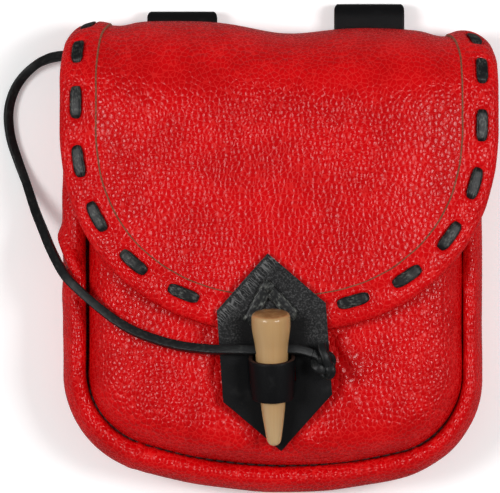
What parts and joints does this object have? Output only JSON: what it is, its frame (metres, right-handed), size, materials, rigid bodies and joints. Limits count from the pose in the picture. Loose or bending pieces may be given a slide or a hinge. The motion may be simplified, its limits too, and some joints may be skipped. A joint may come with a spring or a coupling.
{
  "type": "belt pouch",
  "caption": "Leather belt pouch lying on its back: rounded flap with a laced edge binding, horn toggle through a keeper on a clasp plate, long toggle cord and belt loops at the back.",
  "frame": {"origin": "on the ground under the middle of the pouch, which lies on its back, measured without the cord and its knot", "axes": "+Z out of the pouch's front, +Y up towards the belt, +X to the right as the front is seen"},
  "size_m": [0.189, 0.1861, 0.0699],
  "materials": {
    "red_leather": "pebbled, semi-gloss",
    "black_leather": "smooth, satin",
    "black_lace": "matt, slightly rough",
    "horn": "polished horn"
  },
  "bodies": {
    "root": {"back_and_flap": "red_leather", "front_panel": "red_leather", "gusset": "red_leather", "flap_binding": "red_leather", "flap_lace": "black_lace", "clasp_plate": "black_leather", "plate_thong": "black_lace", "toggle_keeper": "black_leather", "horn_toggle": "horn", "toggle_cord": "black_lace", "cord_knot": "black_lace", "belt_loop_left": "black_leather", "belt_loop_right": "black_leather"}
  },
  "joints": []
}
